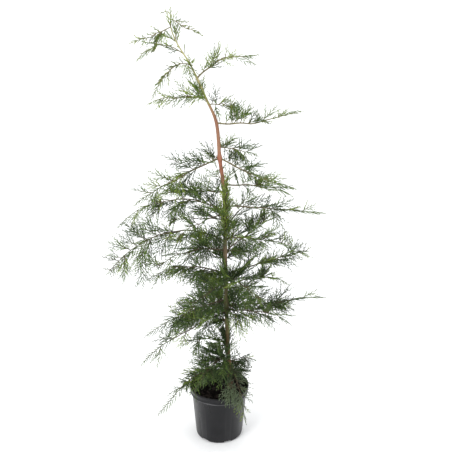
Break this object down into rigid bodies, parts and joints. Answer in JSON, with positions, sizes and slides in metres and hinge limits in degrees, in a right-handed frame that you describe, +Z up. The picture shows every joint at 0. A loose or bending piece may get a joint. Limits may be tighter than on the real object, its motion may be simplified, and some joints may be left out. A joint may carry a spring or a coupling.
{
  "type": "potted leyland cypress",
  "caption": "Young leyland cypress in a round nursery pot: bare leader nodding to one side, open tiers of boughs with flat feathery sprays that droop at their tips.",
  "frame": {"origin": "centre of the pot's flat underside", "axes": "+Z up along the tree, -Y towards the side the picture shows, the leader nods to -X"},
  "size_m": [0.663, 0.4634, 1.3247],
  "materials": {
    "pot_plastic": "satin black, moulded",
    "compost": "rough, crumbly",
    "bark": "thin stringy bark, matt",
    "foliage": "matt scale leaves"
  },
  "bodies": {
    "root": {"bough_09_front_left": "bark", "bough_10_right": "bark", "bough_15_right": "bark", "bough_16_left": "bark", "bough_21_left_front": "bark", "bough_22_left": "bark", "bough_28_right": "bark", "bough_32_right_back": "bark", "bough_33_left": "bark", "bough_34_right_front": "bark", "bough_36_right": "bark", "bough_39_right_back": "bark", "mass_01_front_right": "foliage", "mass_02_left_front": "foliage", "mass_03_front_left": "foliage", "mass_04_left_back": "foliage", "mass_05_right": "foliage", "mass_06_back": "foliage", "mass_07_back_right": "foliage", "mass_08_left": "foliage", "mass_09_front_left": "foliage", "mass_10_right": "foliage", "mass_11_front_right": "foliage", "mass_12_back_left": "foliage", "mass_13_back_right": "foliage", "mass_14_right_back": "foliage", "mass_15_right": "foliage", "mass_16_left": "foliage", "mass_17_front_right": "foliage", "mass_18_front_left": "foliage", "mass_19_back": "foliage", "mass_20_right_back": "foliage", "mass_21_left_front": "foliage", "mass_22_left": "foliage", "mass_23_right_front": "foliage", "mass_24_front": "foliage", "mass_25_back_right": "foliage", "mass_26_left_back": "foliage", "mass_27_left": "foliage", "mass_28_right": "foliage", "mass_29_front_left": "foliage", "mass_30_back": "foliage", "mass_31_left_back": "foliage", "mass_32_right_back": "foliage", "mass_33_left": "foliage", "mass_34_right_front": "foliage", "mass_35_right_back": "foliage", "mass_36_right": "foliage", "mass_37_back_right": "foliage", "mass_38_left_back": "foliage", "mass_39_right_back": "foliage", "mass_40_left_front": "foliage", "mass_41_left_back": "foliage", "mass_42_left_front": "foliage", "mass_43_right_front": "foliage", "mass_44_tip": "foliage", "pot": "pot_plastic", "soil": "compost", "trunk": "bark"}
  },
  "joints": []
}
